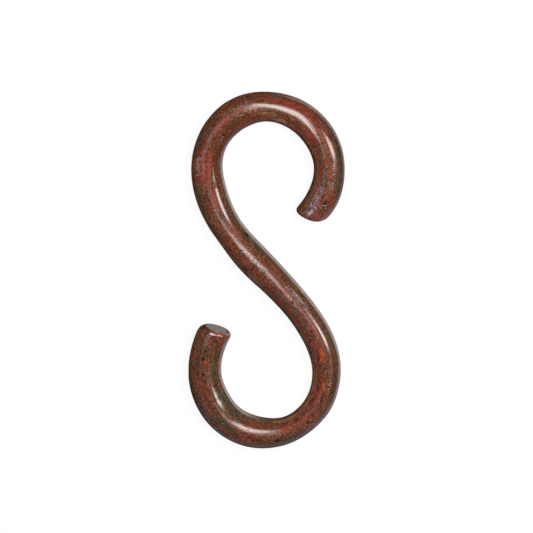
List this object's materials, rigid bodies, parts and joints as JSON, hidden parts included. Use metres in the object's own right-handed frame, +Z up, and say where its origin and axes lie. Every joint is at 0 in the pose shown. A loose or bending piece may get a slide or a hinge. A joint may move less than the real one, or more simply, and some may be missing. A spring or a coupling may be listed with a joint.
{
  "type": "s hook",
  "caption": "S hook bent from round steel bar: two open hooks that curl opposite ways, to hang one thing from another.",
  "frame": {"origin": "middle of the hook's footprint, on the surface that it lies on", "axes": "+Y along the hook's length toward the upper hook, +X to the right across it, +Z up through the bar's thickness"},
  "size_m": [0.047, 0.1106, 0.0099],
  "materials": {
    "patinated_steel": "gloss"
  },
  "bodies": {
    "root": {"s_hook": "patinated_steel"}
  },
  "joints": []
}
